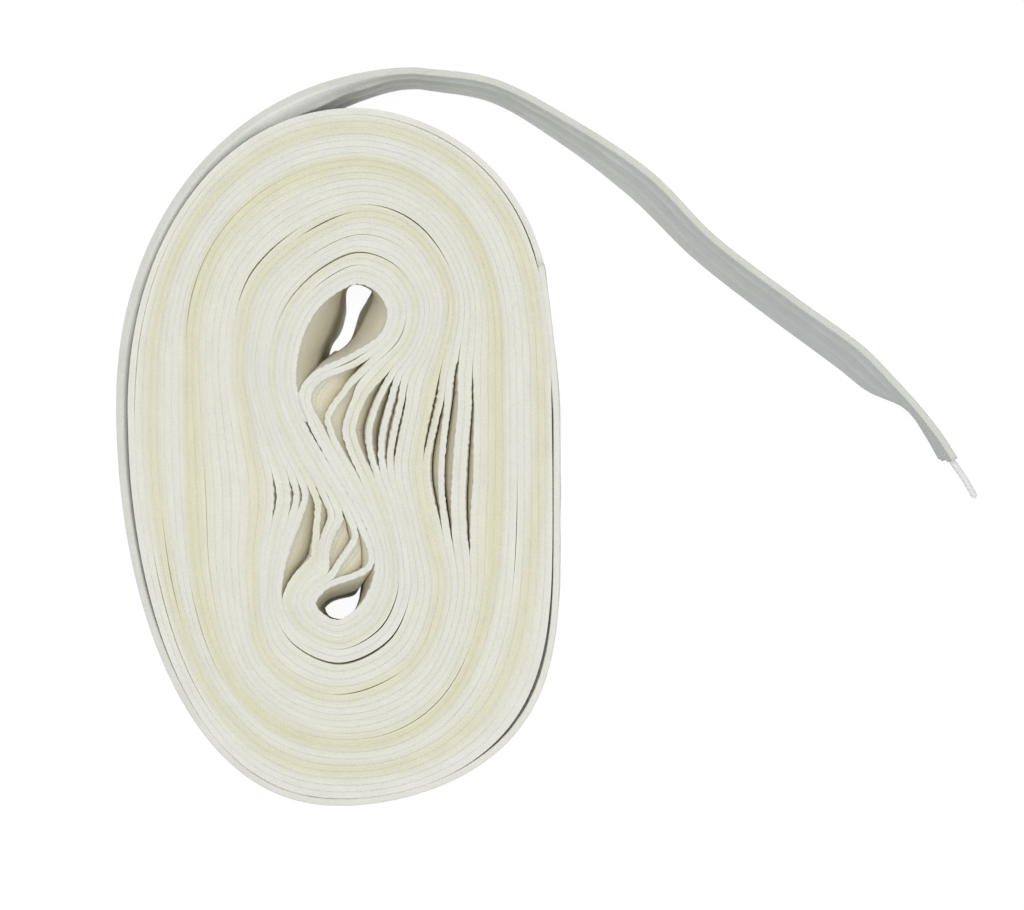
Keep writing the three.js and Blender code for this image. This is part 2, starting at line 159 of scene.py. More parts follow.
# Where slack has opened gaps: the inner of the two rings it lies between, how many turns lie
# inside it, its middle and reach in stations, its share of the slack there, and how many turns
# further out it lies lower down, so that the next turn leans under it.
GAPS = [
    {"ring": 0, "after": 2, "middle": 3.6, "reach": 2.2, "share": 0.55, "foot": -1},
    {"ring": 0, "after": 3, "middle": 4.9, "reach": 3.0, "share": 0.46, "foot": -1},
    {"ring": 1, "after": 5, "middle": 4.4, "reach": 4.0, "share": 0.41, "foot": 1},
    {"ring": 1, "after": 6, "middle": 4.4, "reach": 4.0, "share": 0.31, "foot": -1},
    {"ring": 1, "after": 7, "middle": 4.3, "reach": 4.0, "share": 0.17, "foot": 1},
    {"ring": 1, "after": 8, "middle": 4.6, "reach": 4.0, "share": 0.10, "foot": 1},
    {"ring": 2, "after": 12, "middle": 2.8, "reach": 2.4, "share": 0.12, "foot": 1},
    {"ring": 2, "after": 13, "middle": 4.6, "reach": 2.8, "share": 0.30, "foot": 1},
    {"ring": 2, "after": 14, "middle": 3.7, "reach": 4.5, "share": 0.36, "foot": 1},
    {"ring": 2, "after": 16, "middle": 4.8, "reach": 4.0, "share": 0.22, "foot": 1},
    {"ring": 0, "after": 1, "middle": 16.1, "reach": 1.9, "share": 0.36, "foot": 1},
    {"ring": 0, "after": 2, "middle": 16.3, "reach": 1.8, "share": 0.28, "foot": 1},
    {"ring": 0, "after": 4, "middle": 16.8, "reach": 1.6, "share": 0.13, "foot": 1},
    {"ring": 0, "after": 5, "middle": 14.6, "reach": 3.8, "share": 0.36, "foot": 0},
    {"ring": 1, "after": 6, "middle": 17.3, "reach": 2.8, "share": 0.10, "foot": 1},
    {"ring": 1, "after": 7, "middle": 17.1, "reach": 3.2, "share": 0.10, "foot": 1},
    {"ring": 1, "after": 9, "middle": 17.0, "reach": 3.2, "share": 0.08, "foot": 1},
]

# Thin dark slits between turns that lie close: the turns inside the slit, the stations where it
# starts and ends, and its width in mm.
SLITS = [
    {"turn": 5, "start": 21.8, "end": 26.6, "width": 0.30},
    {"turn": 3, "start": 22.6, "end": 25.4, "width": 0.14},
    {"turn": 3, "start": 0.2, "end": 1.9, "width": 0.20},
    {"turn": 1, "start": 1.6, "end": 2.6, "width": 0.24},
    {"turn": 12, "start": 23.9, "end": 24.9, "width": 0.30},
    {"turn": 13, "start": 22.2, "end": 24.2, "width": 0.30},
    {"turn": 13, "start": 24.9, "end": 26.6, "width": 0.26},
    {"turn": 8, "start": 23.6, "end": 26.0, "width": 0.12},
    {"turn": 5, "start": 8.4, "end": 11.2, "width": 0.24},
    {"turn": 7, "start": 9.0, "end": 12.5, "width": 0.46},
    {"turn": 11, "start": 10.2, "end": 11.2, "width": 0.22},
    {"turn": 20, "start": 21.2, "end": 24.8, "width": 0.14},
    {"turn": 20, "start": 11.8, "end": 14.6, "width": 0.16},
    {"turn": 17, "start": 13.0, "end": 19.6, "width": 0.14},
    {"turn": 18, "start": 9.4, "end": 11.0, "width": 0.14},
    {"turn": 23, "start": 12.6, "end": 17.2, "width": 0.16},
    {"turn": 25, "start": 11.6, "end": 15.4, "width": 0.20},
    {"turn": 22, "start": 5.4, "end": 8.6, "width": 0.12},
    {"turn": 27, "start": 18.0, "end": 24.0, "width": 0.16},
    {"turn": 27, "start": 24.4, "end": 29.6, "width": 0.22},
]


def cubic(start, end, slope_at_start, slope_at_end, f):
    """The cubic from start to end with those slopes, at the share f of the way."""
    return (
        (2 * f**3 - 3 * f**2 + 1) * start + (f**3 - 2 * f**2 + f) * slope_at_start
        + (3 * f**2 - 2 * f**3) * end + (f**3 - f**2) * slope_at_end
    )


def closed_curve(places, at):
    """A smooth closed line through places, read at the numbers in at, which count the places.

    Between two places it is a cubic. Its slope at a place is the mean of the slopes of the chords
    before and after, each weighted by the square root of the other chord's length.
    """
    places = np.asarray(places, float)
    chord = np.roll(places, -1, axis=0) - places
    span = np.sqrt(np.linalg.norm(chord, axis=1))[:, None]
    rate = chord / span
    span_before = np.roll(span, 1, axis=0)
    slope = (span * np.roll(rate, 1, axis=0) + span_before * rate) / (span + span_before)
    here = np.floor(at).astype(int) % len(places)
    following = (here + 1) % len(places)
    share = (np.asarray(at) % 1)[:, None]
    leaving = span[here] * slope[here]
    arriving = span[here] * slope[following]
    return cubic(places[here], places[following], leaving, arriving, share)


def steady_curve(values, at):
    """Values round the stations, joined by cubics whose slope at a station is half the
    difference of its neighbours."""
    values = np.asarray(values, float)
    slope = (np.roll(values, -1, axis=0) - np.roll(values, 1, axis=0)) / 2
    here = np.floor(at).astype(int) % len(values)
    following = (here + 1) % len(values)
    share = (np.asarray(at) % 1)[:, None]
    return cubic(values[here], values[following], slope[here], slope[following], share)


def oval(shape, quarters):
    """Points of an oval, clockwise from its top, at 0 to 4 quarters round it.

    In each quarter x = side reach * sin(angle) ** (2 / first power) and
    y = end reach * cos(angle) ** (2 / second power), from the middle of that quarter's cross.
    """
    quarter = np.floor(quarters).astype(int) % 4
    share = quarters % 1
    angle = np.where(quarter % 2, 1 - share, share) * np.pi / 2
    side = np.array([shape["right"], shape["right"], shape["left"], shape["left"]])[quarter]
    end = np.array([shape["top"], shape["bottom"], shape["bottom"], shape["top"]])[quarter]
    power = np.array(shape["powers"])[quarter]
    x = end[:, 0] + (side[:, 0] - end[:, 0]) * np.sin(angle) ** (2 / power[:, 0])
    y = side[:, 1] + (end[:, 1] - side[:, 1]) * np.cos(angle) ** (2 / power[:, 1])
    return np.stack([x, y], axis=1)


def soften(values, width):
    """Values round a loop, averaged with their neighbours by a bell curve of that width."""
    wave = np.fft.fftfreq(len(values)) * 2 * np.pi * width
    bell = np.exp(-wave**2 / 2)
    return np.fft.ifft(np.fft.fft(values) * bell).real


def square_out(points, ring):
    """For each point, clockwise, the nearest place on the next ring out, slid a little so that
    the places follow one another evenly: the place's number is softened about a steady rise."""
    gap = np.linalg.norm(points[:, None] - ring[None], axis=2)
    number = np.unwrap(gap.argmin(axis=1) / len(ring) * 2 * np.pi) / (2 * np.pi)
    steady = np.arange(len(points)) / len(points)
    number = steady + soften(number - steady, SOFTENING)
    where = number % 1 * len(ring)
    low = np.floor(where).astype(int) % len(ring)
    share = (where % 1)[:, None]
    return ring[low] * (1 - share) + ring[(low + 1) % len(ring)] * share


# Points from one station to the next, points round a whole oval, and how many points the
# softening of their places reaches over
FINE = 32
OVAL_POINTS = 4000
SOFTENING = 14
stations = np.arange(len(STATIONS) * FINE) / FINE
dense = np.arange(OVAL_POINTS) / OVAL_POINTS
rim = closed_curve([row["rim"] for row in STATIONS], stations)
fifth = closed_curve([row["fifth"] for row in STATIONS], stations)
drawn = steady_curve([row["drawn"] for row in STATIONS], stations)
tucked = steady_curve([row["tucked"] for row in STATIONS], stations)
waisted_places = [(row["x"], row["y"]) for row in WAISTED_RING]
waisted = square_out(fifth, closed_curve(waisted_places, dense * len(waisted_places)))
twentieth = square_out(waisted, oval(TWENTIETH_TURN, dense * 4))
last = square_out(twentieth, oval(LAST_TURN, dense * 4))

# The strip is worked out at five depths, as shares of its width from the upper edge. What changes
# from the upper to the lower end changes fast at first, and the gaps close faster still.
DEPTHS = np.array([0, 0.06, 0.18, 0.45, 1])
UPPER = 0
LOWERED_POWER = 1.7
CLOSING_POWER = 6
lowered = 1 - (1 - DEPTHS) ** LOWERED_POWER
closing = 1 - (1 - DEPTHS) ** CLOSING_POWER
nothing = np.zeros_like(drawn)
upper_rings = np.array([rim, fifth, waisted, twentieth, last])
change = np.array([drawn, tucked, nothing, nothing, nothing])
rings = (upper_rings + lowered[:, None, None, None] * change) * MM

# The least way from ring to ring that is reckoned with, and how many points the slack is averaged
# over
LEAST_WAY = 0.1 * MM
SLACK_SOFTENING = FINE / 3


def slack_between(inner, outer, turns):
    """The share of the way between two rings that the tape's own thickness doesn't fill.

    The way across is the distance between the rings times the cosine of its slant to the turns.
    """
    along = np.roll(inner + outer, -1, axis=0) - np.roll(inner + outer, 1, axis=0)
    along /= np.linalg.norm(along, axis=1)[:, None]
    outward = np.stack([-along[:, 1], along[:, 0]], axis=1)
    across = np.maximum(((outer - inner) * outward).sum(axis=1), LEAST_WAY)
    return np.clip(soften(1 - turns * TAPE_THICKNESS / across, SLACK_SOFTENING), 0, 1)


ring_pairs = range(len(RING_TURNS) - 1)
slack = np.array([
    [slack_between(level[i], level[i + 1], RING_TURNS[i + 1] - RING_TURNS[i]) for i in ring_pairs]
    for level in rings
])


def smooth_step(value):
    """0 below 0, 1 above 1, and 3v^2 - 2v^3 between."""
    value = np.clip(value, 0, 1)
    return value * value * (3 - 2 * value)


def hump(value):
    """1 at 0, falling to 0 at -1 and 1 as the square of a cosine."""
    return np.cos(np.clip(value, -1, 1) * np.pi / 2) ** 2


def round_loop(values, at):
    """Values kept for each fine station, read between them at the stations in at."""
    where = at * FINE
    low = np.floor(where).astype(int) % len(values)
    share = where % 1
    share = share.reshape(share.shape + (1,) * (values.ndim - 1))
    return values[low] * (1 - share) + values[(low + 1) % len(values)] * share


# The inner end lies in the closed seam, at the head of the seam again, which is station 20 counted
# from 0. The turns outside it step over it there. The length of that step, and where an even rise
# starts and is complete, are in turns.
INNER_END = 20 / len(STATIONS)
STEP_LENGTH = 0.08
EVEN_FROM = 8
EVEN_TO = 16


def turns_inside(turn):
    """How many thicknesses of tape lie inside the strip after so many turns of winding.

    Near the middle it steps up by one where the strip passes its own inner end, over a short
    length on both sides of it. Further out it rises evenly.
    """
    shifted = turn - INNER_END + 0.5
    step = smooth_step((shifted % 1 - 0.5) / STEP_LENGTH + 0.5)
    stepped = np.maximum(np.floor(shifted) - 1 + step, 0)
    even = smooth_step((turn - EVEN_FROM) / (EVEN_TO - EVEN_FROM))
    return stepped * (1 - even) + (turn - 1) * even


# The part of the slack that the gaps take between one ring and the next, where their own shares add
# up to LEAST_GAP_SHARE or more. They take less where those add up to less. The rest is spread.
TAKEN_BY_GAPS = np.array([1.0, 1.0, 0.62, 1.0])
LEAST_GAP_SHARE = 0.6


def strip_middle(turn, level):
    """The middle of the strip's thickness after so many turns, at one of the depths.

    It lies between two rings. The share of the way is the share of the turns, except that the
    slack there goes to the listed gaps, in proportion to their shares.
    """
    layer = np.floor(turn - INNER_END)
    at = (turn - np.floor(turn)) * len(STATIONS)
    depth = (turns_inside(turn) + turns_inside(turn + 1)) / 2
    inner = np.clip(np.searchsorted(RING_TURNS, depth, side="right") - 1, 0, len(ring_pairs) - 1)
    share = (depth - RING_TURNS[inner]) / (RING_TURNS[inner + 1] - RING_TURNS[inner])
    here = np.arange(len(turn))
    loose = np.stack([round_loop(row, at) for row in slack[level]])[inner, here]
    opened = np.zeros(len(turn))
    taken = np.zeros(len(turn))
    for gap in GAPS:
        weight = (inner == gap["ring"]) * gap["share"] * hump((at - gap["middle"]) / gap["reach"])
        above = layer >= gap["after"]
        below = layer >= gap["after"] + gap["foot"]
        opened += weight * (above + (1.0 * below - above) * closing[level])
        taken += weight
    most = TAKEN_BY_GAPS[inner] / np.maximum(taken, LEAST_GAP_SHARE)
    opened *= most
    kept = 1 - taken * most
    way = (1 - loose) * share + loose * (kept * share + opened)
    places = np.stack([round_loop(ring, at) for ring in rings[level]])
    start = places[inner, here]
    end = places[inner + 1, here]
    return start + (end - start) * way[:, None]


SHORT_WAY = 0.003


def outward_of(turn, level):
    """The direction square to the strip that points away from the middle of the roll. The strip's
    own direction is taken from a short way behind to a short way ahead, in turns."""
    ahead = strip_middle(turn + SHORT_WAY, level) - strip_middle(turn - SHORT_WAY, level)
    ahead /= np.linalg.norm(ahead, axis=1)[:, None]
    return np.stack([-ahead[:, 1], ahead[:, 0]], axis=1)


# A turn fills the room up to its neighbours. It is free beside a listed gap, where the way to the
# next turn's middle goes from FREE_FROM to FREE_TO, and keeps its own thickness there.
CLOSENESS = 0.995
FREE_HALF = 0.63 * MM
LEAST_HALF = 0.18 * MM
FREE_FROM = 1.34 * MM
FREE_TO = 1.62 * MM
GAP_COUNTS_FROM = 0.25


def gap_beside(turn):
    """0 to 1: whether one of the listed gaps lies on the strip's outer side. It is 1 where the
    gap's hump is over GAP_COUNTS_FROM."""
    layer = np.floor(turn - INNER_END) + 1
    at = (turn % 1) * len(STATIONS)
    beside = np.zeros(len(turn))
    for gap in GAPS:
        beside += (layer == gap["after"]) * hump((at - gap["middle"]) / gap["reach"])
    return np.clip(beside / GAP_COUNTS_FROM, 0, 1)


def strip_sides(turn, level):
    """The middle, outward direction, thickness to both sides, and how free each side is."""
    middle = strip_middle(turn, level)
    outward = outward_of(turn, level)
    outer_room = ((strip_middle(turn + 1, level) - middle) * outward).sum(axis=1)
    before = np.maximum(turn - 1, INNER_END)
    inner_room = ((middle - strip_middle(before, level)) * outward).sum(axis=1)
    half = []
    free = []
    for room, beside in ((inner_room, gap_beside(turn - 1)), (outer_room, gap_beside(turn))):
        loose = smooth_step((room - FREE_FROM) / (FREE_TO - FREE_FROM)) * beside
        packed = np.maximum(room / 2 * CLOSENESS, LEAST_HALF)
        half.append(packed + (FREE_HALF - packed) * loose * (1 - closing[level]))
        free.append(loose)
    innermost = turn < INNER_END + 1
    half[0] = np.where(innermost, FREE_HALF, half[0])
    free[0] = np.where(innermost, 1, free[0])
    last_turn = turn > TURNS - 1
    half[1] = np.where(last_turn, TAPE_THICKNESS / 2, half[1])
    return middle, outward, half, free


# The way from one cross-section to the next, on the outer turns, on the first eight and along free
# edges, and the most that the strip bends on that way
LONG_STEP = 3.0 * MM
MIDDLE_STEP = 1.6 * MM
SHORT_STEP = 0.6 * MM
BEND_STEP = np.radians(9)
OPEN_TURNS = 8
SAMPLES_A_TURN = 700


def strip_stations():
    """The turns at which the strip gets a cross-section, and the length of tape up to each.

    Sections come closer where the strip bends, among the inner turns and most of all along
    the free edges beside a gap.
    """
    turn = np.linspace(INNER_END, TURNS, TURNS * SAMPLES_A_TURN)
    middle, _, _, free = strip_sides(turn, UPPER)
    ahead = np.diff(middle, axis=0)
    length = np.linalg.norm(ahead, axis=1)
    heading = np.unwrap(np.arctan2(ahead[:, 1], ahead[:, 0]))
    bend = np.abs(np.diff(heading, append=heading[-1]))
    step = np.where(turn[:-1] < OPEN_TURNS, MIDDLE_STEP, LONG_STEP)
    step += (SHORT_STEP - step) * np.clip(free[0] + free[1], 0, 1)[:-1]
    count = np.concatenate([[0], np.cumsum(length / step + bend / BEND_STEP)])
    chosen = np.interp(np.arange(0, int(count[-1]) + 1), count, turn)
    chosen[-1] = TURNS
    distance = np.interp(chosen, turn, np.concatenate([[0], np.cumsum(length)]))
    return chosen, distance


SINES = 5
LENGTH_RANGE = (0.6, 1.7)
SINE_HEIGHT = 0.4


def waver(distance, wavelength, seed):
    """Smooth unevenness of about -1 to 1: the sum of five sines of lengths near the wavelength."""
    draw = np.random.default_rng(seed)
    lengths = wavelength * draw.uniform(*LENGTH_RANGE, SINES)
    starts = draw.uniform(0, 2 * np.pi, SINES)
    return np.sin(2 * np.pi * distance[..., None] / lengths + starts).sum(axis=-1) * SINE_HEIGHT


# The unevenness of the wound strip, in mm: whether it runs along the tape or from turn to turn,
# its wavelength in mm or turns, how far it goes, how much further on a free edge, and its seed.
TOP_WAVES = [
    {"runs": "turns", "length": 3.1, "height": 0.05, "free": 0.12, "seed": 1},
    {"runs": "tape", "length": 90, "height": 0.05, "free": 0, "seed": 2},
    {"runs": "tape", "length": 1.3, "height": 0, "free": 0.05, "seed": 3},
    {"runs": "tape", "length": 5, "height": 0.012, "free": 0, "seed": 4},
]
BOTTOM_WAVES = [
    {"runs": "turns", "length": 2.3, "height": 0.08, "free": 0, "seed": 5},
    {"runs": "tape", "length": 70, "height": 0.04, "free": 0, "seed": 6},
]
INNER_SCALLOPS = [
    {"runs": "tape", "length": 1.15, "height": 0, "free": 0.07, "seed": 21},
    {"runs": "tape", "length": 2.9, "height": 0, "free": 0.042, "seed": 25},
]
OUTER_SCALLOPS = [
    {"runs": "tape", "length": 1.15, "height": 0, "free": 0.07, "seed": 22},
    {"runs": "tape", "length": 2.9, "height": 0, "free": 0.042, "seed": 26},
]


def unevenness(waves, turn, distance, free):
    """The sum of the listed waves: each is height + free height * how free the edge is."""
    total = np.zeros(len(distance))
    for wave in waves:
        along = turn if wave["runs"] == "turns" else distance / MM
        height = wave["height"] + wave["free"] * free
        total += height * waver(along, wave["length"], wave["seed"])
    return total * MM


# The yellow bands, partly the tape's own tint and partly painted shade of the recess that they are
# sunk in: their depth in turns at the top, right, bottom and left of the roll, how many turns they
# cover to either side, and how yellow they are.
YELLOW_BANDS = [
    {"top": 25.0, "right": 25.6, "bottom": 23.3, "left": 24.3, "reach": 1.3, "amount": 0.85},
    {"top": 19.5, "right": 19.5, "bottom": 19.5, "left": 19.3, "reach": 0.8, "amount": 0.55},
    {"top": 18.6, "right": 18.8, "bottom": 18.7, "left": 18.4, "reach": 1.8, "amount": 0.65},
    {"top": 15.2, "right": 15.4, "bottom": 15.0, "left": 15.2, "reach": 0.8, "amount": 0.15},
    {"top": 11.4, "right": 11.5, "bottom": 11.4, "left": 11.5, "reach": 1.4, "amount": 0.80},
    {"top": 8.0, "right": 8.2, "bottom": 8.0, "left": 8.0, "reach": 0.8, "amount": 0.22},
    {"top": 4.4, "right": 4.4, "bottom": 4.0, "left": 4.4, "reach": 0.8, "amount": 0.50},
    {"top": 2.2, "right": 2.2, "bottom": 2.0, "left": 2.2, "reach": 0.6, "amount": 0.25},
]
BAND_DEPTH = 0.75 * MM

# The stations at the top, right, bottom and left, and then at the top and right one round further
SIDE_STATIONS = [-2, 4.6, 11, 18.5, 25, 31.6]


def yellowness(depth, at):
    """0 to 1: the sum of the bands, each a bell about its own depth, which drifts round the roll."""
    total = np.zeros(np.broadcast(depth, at).shape)
    for band in YELLOW_BANDS:
        sides = [band[side] for side in ("top", "right", "bottom", "left", "top", "right")]
        middle = np.interp(at, SIDE_STATIONS, sides)
        total += band["amount"] * np.exp(-(((depth - middle) / band["reach"]) ** 2))
    return np.clip(total, 0, 1)


# The strip's cross-section, from the inner face over the upper edge to the outer face and round
# the lower edge: place across the thickness from -1 to 1, number of the depth, and the share of
# the edge's rounding by which it lies below the edge.
SECTION = [
    (-1.0, 0, 1.0), (-0.95, 0, 0.5), (-0.78, 0, 0.2), (-0.42, 0, 0.03), (0.0, 0, 0.0),
    (0.42, 0, 0.03), (0.78, 0, 0.2), (0.95, 0, 0.5), (1.0, 0, 1.0),
    (1.0, 1, 0.0), (1.0, 2, 0.0), (1.0, 3, 0.0),
    (1.0, 4, -0.2), (0.5, 4, 0.0), (-0.5, 4, 0.0), (-1.0, 4, -0.2),
    (-1.0, 3, 0.0), (-1.0, 2, 0.0), (-1.0, 1, 0.0),
]
across_section, depth_number, below_edge = (np.array(column) for column in zip(*SECTION))
TOP_COLUMNS = 9

# How far the edges lie inside the tape's width before their unevenness, how many of the depths the
# scallops reach down to, and the least thickness that a slit leaves on either side of the middle
TOP_MARGIN = 0.15 * MM
BOTTOM_MARGIN = 0.10 * MM
SCALLOPED_DEPTHS = 2
THINNEST_SIDE = 0.1 * MM

# The upper edge is rounded off only a little where turns are packed, more where it has felted,
# which comes and goes along the tape, and most where it is free
PACKED_ROUNDING = 0.02 * MM
FELTED_ROUNDING = 0.16 * MM
FREE_ROUNDING = 0.30 * MM
FELT_LENGTH = 28 * MM
FELT_FROM = 0.25
FELT_SEEDS = (31, 32)

# The lower this power, the blunter the ends of a slit
SLIT_POWER = 0.6


def slit_after(turn):
    """The width of the slit on the strip's outer side after so many turns."""
    width = np.zeros(len(turn))
    layer = np.floor(turn - INNER_END) + 1
    at = (turn % 1) * len(STATIONS)
    for slit in SLITS:
        share = (at - slit["start"]) / (slit["end"] - slit["start"]) * 2 - 1
        width += (layer == slit["turn"]) * slit["width"] * MM * hump(share) ** SLIT_POWER
    return width


def wound_sides(corners, turn, distance, free):
    """Fills in x and y of every corner: middle + outward * across * thickness to that side, at the
    depth of that place. Slits close towards the lower edge, as the gaps do."""
    for level in range(len(DEPTHS)):
        middle, outward, half, _ = strip_sides(turn, level)
        slit = 1 - closing[level]
        inner_half = np.maximum(half[0] - slit_after(turn - 1) / 2 * slit, THINNEST_SIDE)
        outer_half = np.maximum(half[1] - slit_after(turn) / 2 * slit, THINNEST_SIDE)
        if level < SCALLOPED_DEPTHS:
            inner_half = inner_half + unevenness(INNER_SCALLOPS, turn, distance, free[0])
            outer_half = outer_half + unevenness(OUTER_SCALLOPS, turn, distance, free[1])
        here = depth_number == level
        across = across_section[here]
        side = np.where(across < 0, inner_half[:, None], outer_half[:, None])
        corners[:, here, :2] = middle[:, None] + outward[:, None] * (across * side)[..., None]


def edge_rounding(distance, free):
    """How far the upper edge is rounded off, for the inner and the outer side of the section."""
    rounding = []
    for side_free, seed in zip(free, FELT_SEEDS):
        felted = np.clip(waver(distance, FELT_LENGTH, seed) - FELT_FROM, 0, 1)
        packed = PACKED_ROUNDING + (FELTED_ROUNDING - PACKED_ROUNDING) * felted
        rounding.append(packed + (FREE_ROUNDING - packed) * side_free)
    return np.where(across_section < 0, rounding[0][:, None], rounding[1][:, None])


def wound_strip():
    """Every corner of the strip, a row for each station along it and a column for each place of
    the section, with its distance, turn and yellowness.

    z goes from the uneven upper edge, sunk in the yellow bands, to the uneven lower edge.
    """
    turn, distance = strip_stations()
    free = strip_sides(turn, UPPER)[3]
    any_free = np.clip(free[0] + free[1], 0, 1)
    corners = np.empty((len(turn), len(SECTION), 3))
    wound_sides(corners, turn, distance, free)
    turns_in = turns_inside(turn)[:, None] + (across_section + 1) / 2
    yellow = yellowness(turns_in, ((turn % 1) * len(STATIONS))[:, None])
    lift = unevenness(TOP_WAVES, turn, distance, any_free)[:, None]
    top = np.minimum(TOP_Z - TOP_MARGIN - yellow * BAND_DEPTH + lift, TOP_Z)
    bottom = BOTTOM_MARGIN + unevenness(BOTTOM_WAVES, turn, distance, any_free)
    bottom = np.maximum(bottom, 0)[:, None]
    corners[..., 2] = top + (bottom - top) * DEPTHS[depth_number]
    corners[..., 2] -= edge_rounding(distance, free) * below_edge
    return corners, distance, turn, yellow


def strip_mesh(name, corners, distance):
    """A closed strip as a mesh: quads between each cross-section and the next, a flat cap on each
    end, and a UV map in metres, along the tape and round its section."""
    rows, columns = corners.shape[:2]
    row = np.arange(rows - 1)[:, None]
    column = np.arange(columns)
    following = (column + 1) % columns
    first = row * columns + column
    second = row * columns + following
    quads = np.stack([first, second, second + columns, first + columns], axis=-1).reshape(-1, 4)
    start_cap = list(range(columns))[::-1]
    end_cap = list(range((rows - 1) * columns, rows * columns))
    mesh = bpy.data.meshes.new(name)
    mesh.from_pydata(corners.reshape(-1, 3), [], [*quads.tolist(), start_cap, end_cap])
    side = np.linalg.norm(np.roll(corners, -1, axis=1) - corners, axis=2).mean(axis=0)
    around = np.concatenate([[0], np.cumsum(side)])
    u = np.stack([distance[:-1], distance[:-1], distance[1:], distance[1:]], axis=-1)
    v = np.stack([around[:-1], around[1:], around[1:], around[:-1]], axis=-1)
    uv = np.empty((rows - 1, columns, 4, 2))
    uv[..., 0] = u[:, None]
    uv[..., 1] = v[None]
    cap_uv = np.zeros((2 * columns, 2))
    layer = mesh.uv_layers.new(name="tape")
    layer.data.foreach_set("uv", np.concatenate([uv.reshape(-1, 2), cap_uv]).ravel())
    mesh.polygons.foreach_set("use_smooth", np.ones(len(mesh.polygons), bool))
    piece = bpy.data.objects.new(name, mesh)
    bpy.context.scene.collection.objects.link(piece)
    return piece


def keep_values(piece, name, values):
    """Stores a number for each corner of the mesh, for the material to read."""
    attribute = piece.data.attributes.new(name, "FLOAT", "POINT")
    attribute.data.foreach_set("value", np.asarray(values, np.float32).ravel())


def add_node(tree, kind, label, settings=(), **inputs):
    """A shader node with its settings, and its named inputs set or linked."""
    node = tree.nodes.new(kind)
    node.label = label
    for key, value in settings:
        setattr(node, key, value)
    for key, value in inputs.items():
        socket = node.inputs[int(key[1:])] if key[0] == "n" and key[1:].isdigit() else node.inputs[key]
        if isinstance(value, bpy.types.NodeSocket):
            tree.links.new(value, socket)
        else:
            socket.default_value = value
    return node


def calculate(tree, operation, first, second=0.0, third=0.0):
    """One step of arithmetic on values."""
    node = add_node(tree, "ShaderNodeMath", operation.lower(), [("operation", operation)],
                    n0=first, n1=second, n2=third)
    return node.outputs[0]


def blend_colours(tree, factor, first, second):
    """A mix of two colours."""
    node = add_node(tree, "ShaderNodeMix", "blend", [("data_type", "RGBA")])
    for number, value in ((0, factor), (6, first), (7, second)):
        if isinstance(value, bpy.types.NodeSocket):
            tree.links.new(value, node.inputs[number])
        else:
            node.inputs[number].default_value = value
    return node.outputs[2]


def new_group(name, inputs, outputs):
    """An empty shader node group with named inputs, each with a starting value, and outputs."""
    group = bpy.data.node_groups.new(name, "ShaderNodeTree")
    for label, kind, value in inputs:
        socket = group.interface.new_socket(label, in_out="INPUT", socket_type=kind)
        if value is not None:
            socket.default_value = value
    for label, kind in outputs:
        group.interface.new_socket(label, in_out="OUTPUT", socket_type=kind)
    start = group.nodes.new("NodeGroupInput")
    end = group.nodes.new("NodeGroupOutput")
    return group, start, end


def weave_group():
    """Plain weave: rows of threads along the tape, each crossed over and under in turn.

    Height is the product of two sines, whose phase changes by half from row to row, plus a
    little unevenness of the yarn. Mottle is soft uneven shading from 0 to 1.
    """
    group, start, end = new_group(
        "plain weave",
        [("Along", "NodeSocketFloat", 0.0), ("Round", "NodeSocketFloat", 0.0),
         ("Row", "NodeSocketFloat", 0.0006), ("Crossing", "NodeSocketFloat", 0.0008)],
        [("Height", "NodeSocketFloat"), ("Mottle", "NodeSocketFloat")],
    )
    row = calculate(group, "DIVIDE", start.outputs["Round"], start.outputs["Row"])
    crossing = calculate(group, "DIVIDE", start.outputs["Along"], start.outputs["Crossing"])
    number = calculate(group, "FLOOR", row)
    shifted = calculate(group, "MULTIPLY_ADD", number, 0.5, crossing)
    across = calculate(group, "SINE", calculate(group, "MULTIPLY", row, np.pi))
    along = calculate(group, "SINE", calculate(group, "MULTIPLY", shifted, 2 * np.pi))
    over = calculate(group, "MULTIPLY_ADD", along, 0.35, 0.65)
    ridge = calculate(group, "MULTIPLY", calculate(group, "ABSOLUTE", across), over)
    place = add_node(group, "ShaderNodeCombineXYZ", "place on the tape",
                     X=start.outputs["Along"], Y=start.outputs["Round"])
    yarn = add_node(group, "ShaderNodeTexNoise", "uneven yarn",
                    Vector=place.outputs[0], Scale=900.0, Detail=2.0)
    height = calculate(group, "MULTIPLY_ADD", yarn.outputs[0], 0.6, ridge)
    mottle = add_node(group, "ShaderNodeTexNoise", "mottle",
                      Vector=place.outputs[0], Scale=120.0, Detail=3.0)
    group.links.new(height, end.inputs["Height"])
    group.links.new(mottle.outputs[0], end.inputs["Mottle"])
    return group


plain_weave = weave_group()

# Woven yarn lets light in: it spreads a millimetre or so in the tape, red further than blue
LIGHT_SPREAD = (1.0, 0.95, 0.84)
SPREAD_LENGTH = 0.7 * MM

# Uneven dye and dirt: the colour is multiplied by the first value, plus the second times mottle
DARKEST_MOTTLE = 0.92
MOTTLE_RANGE = 0.16


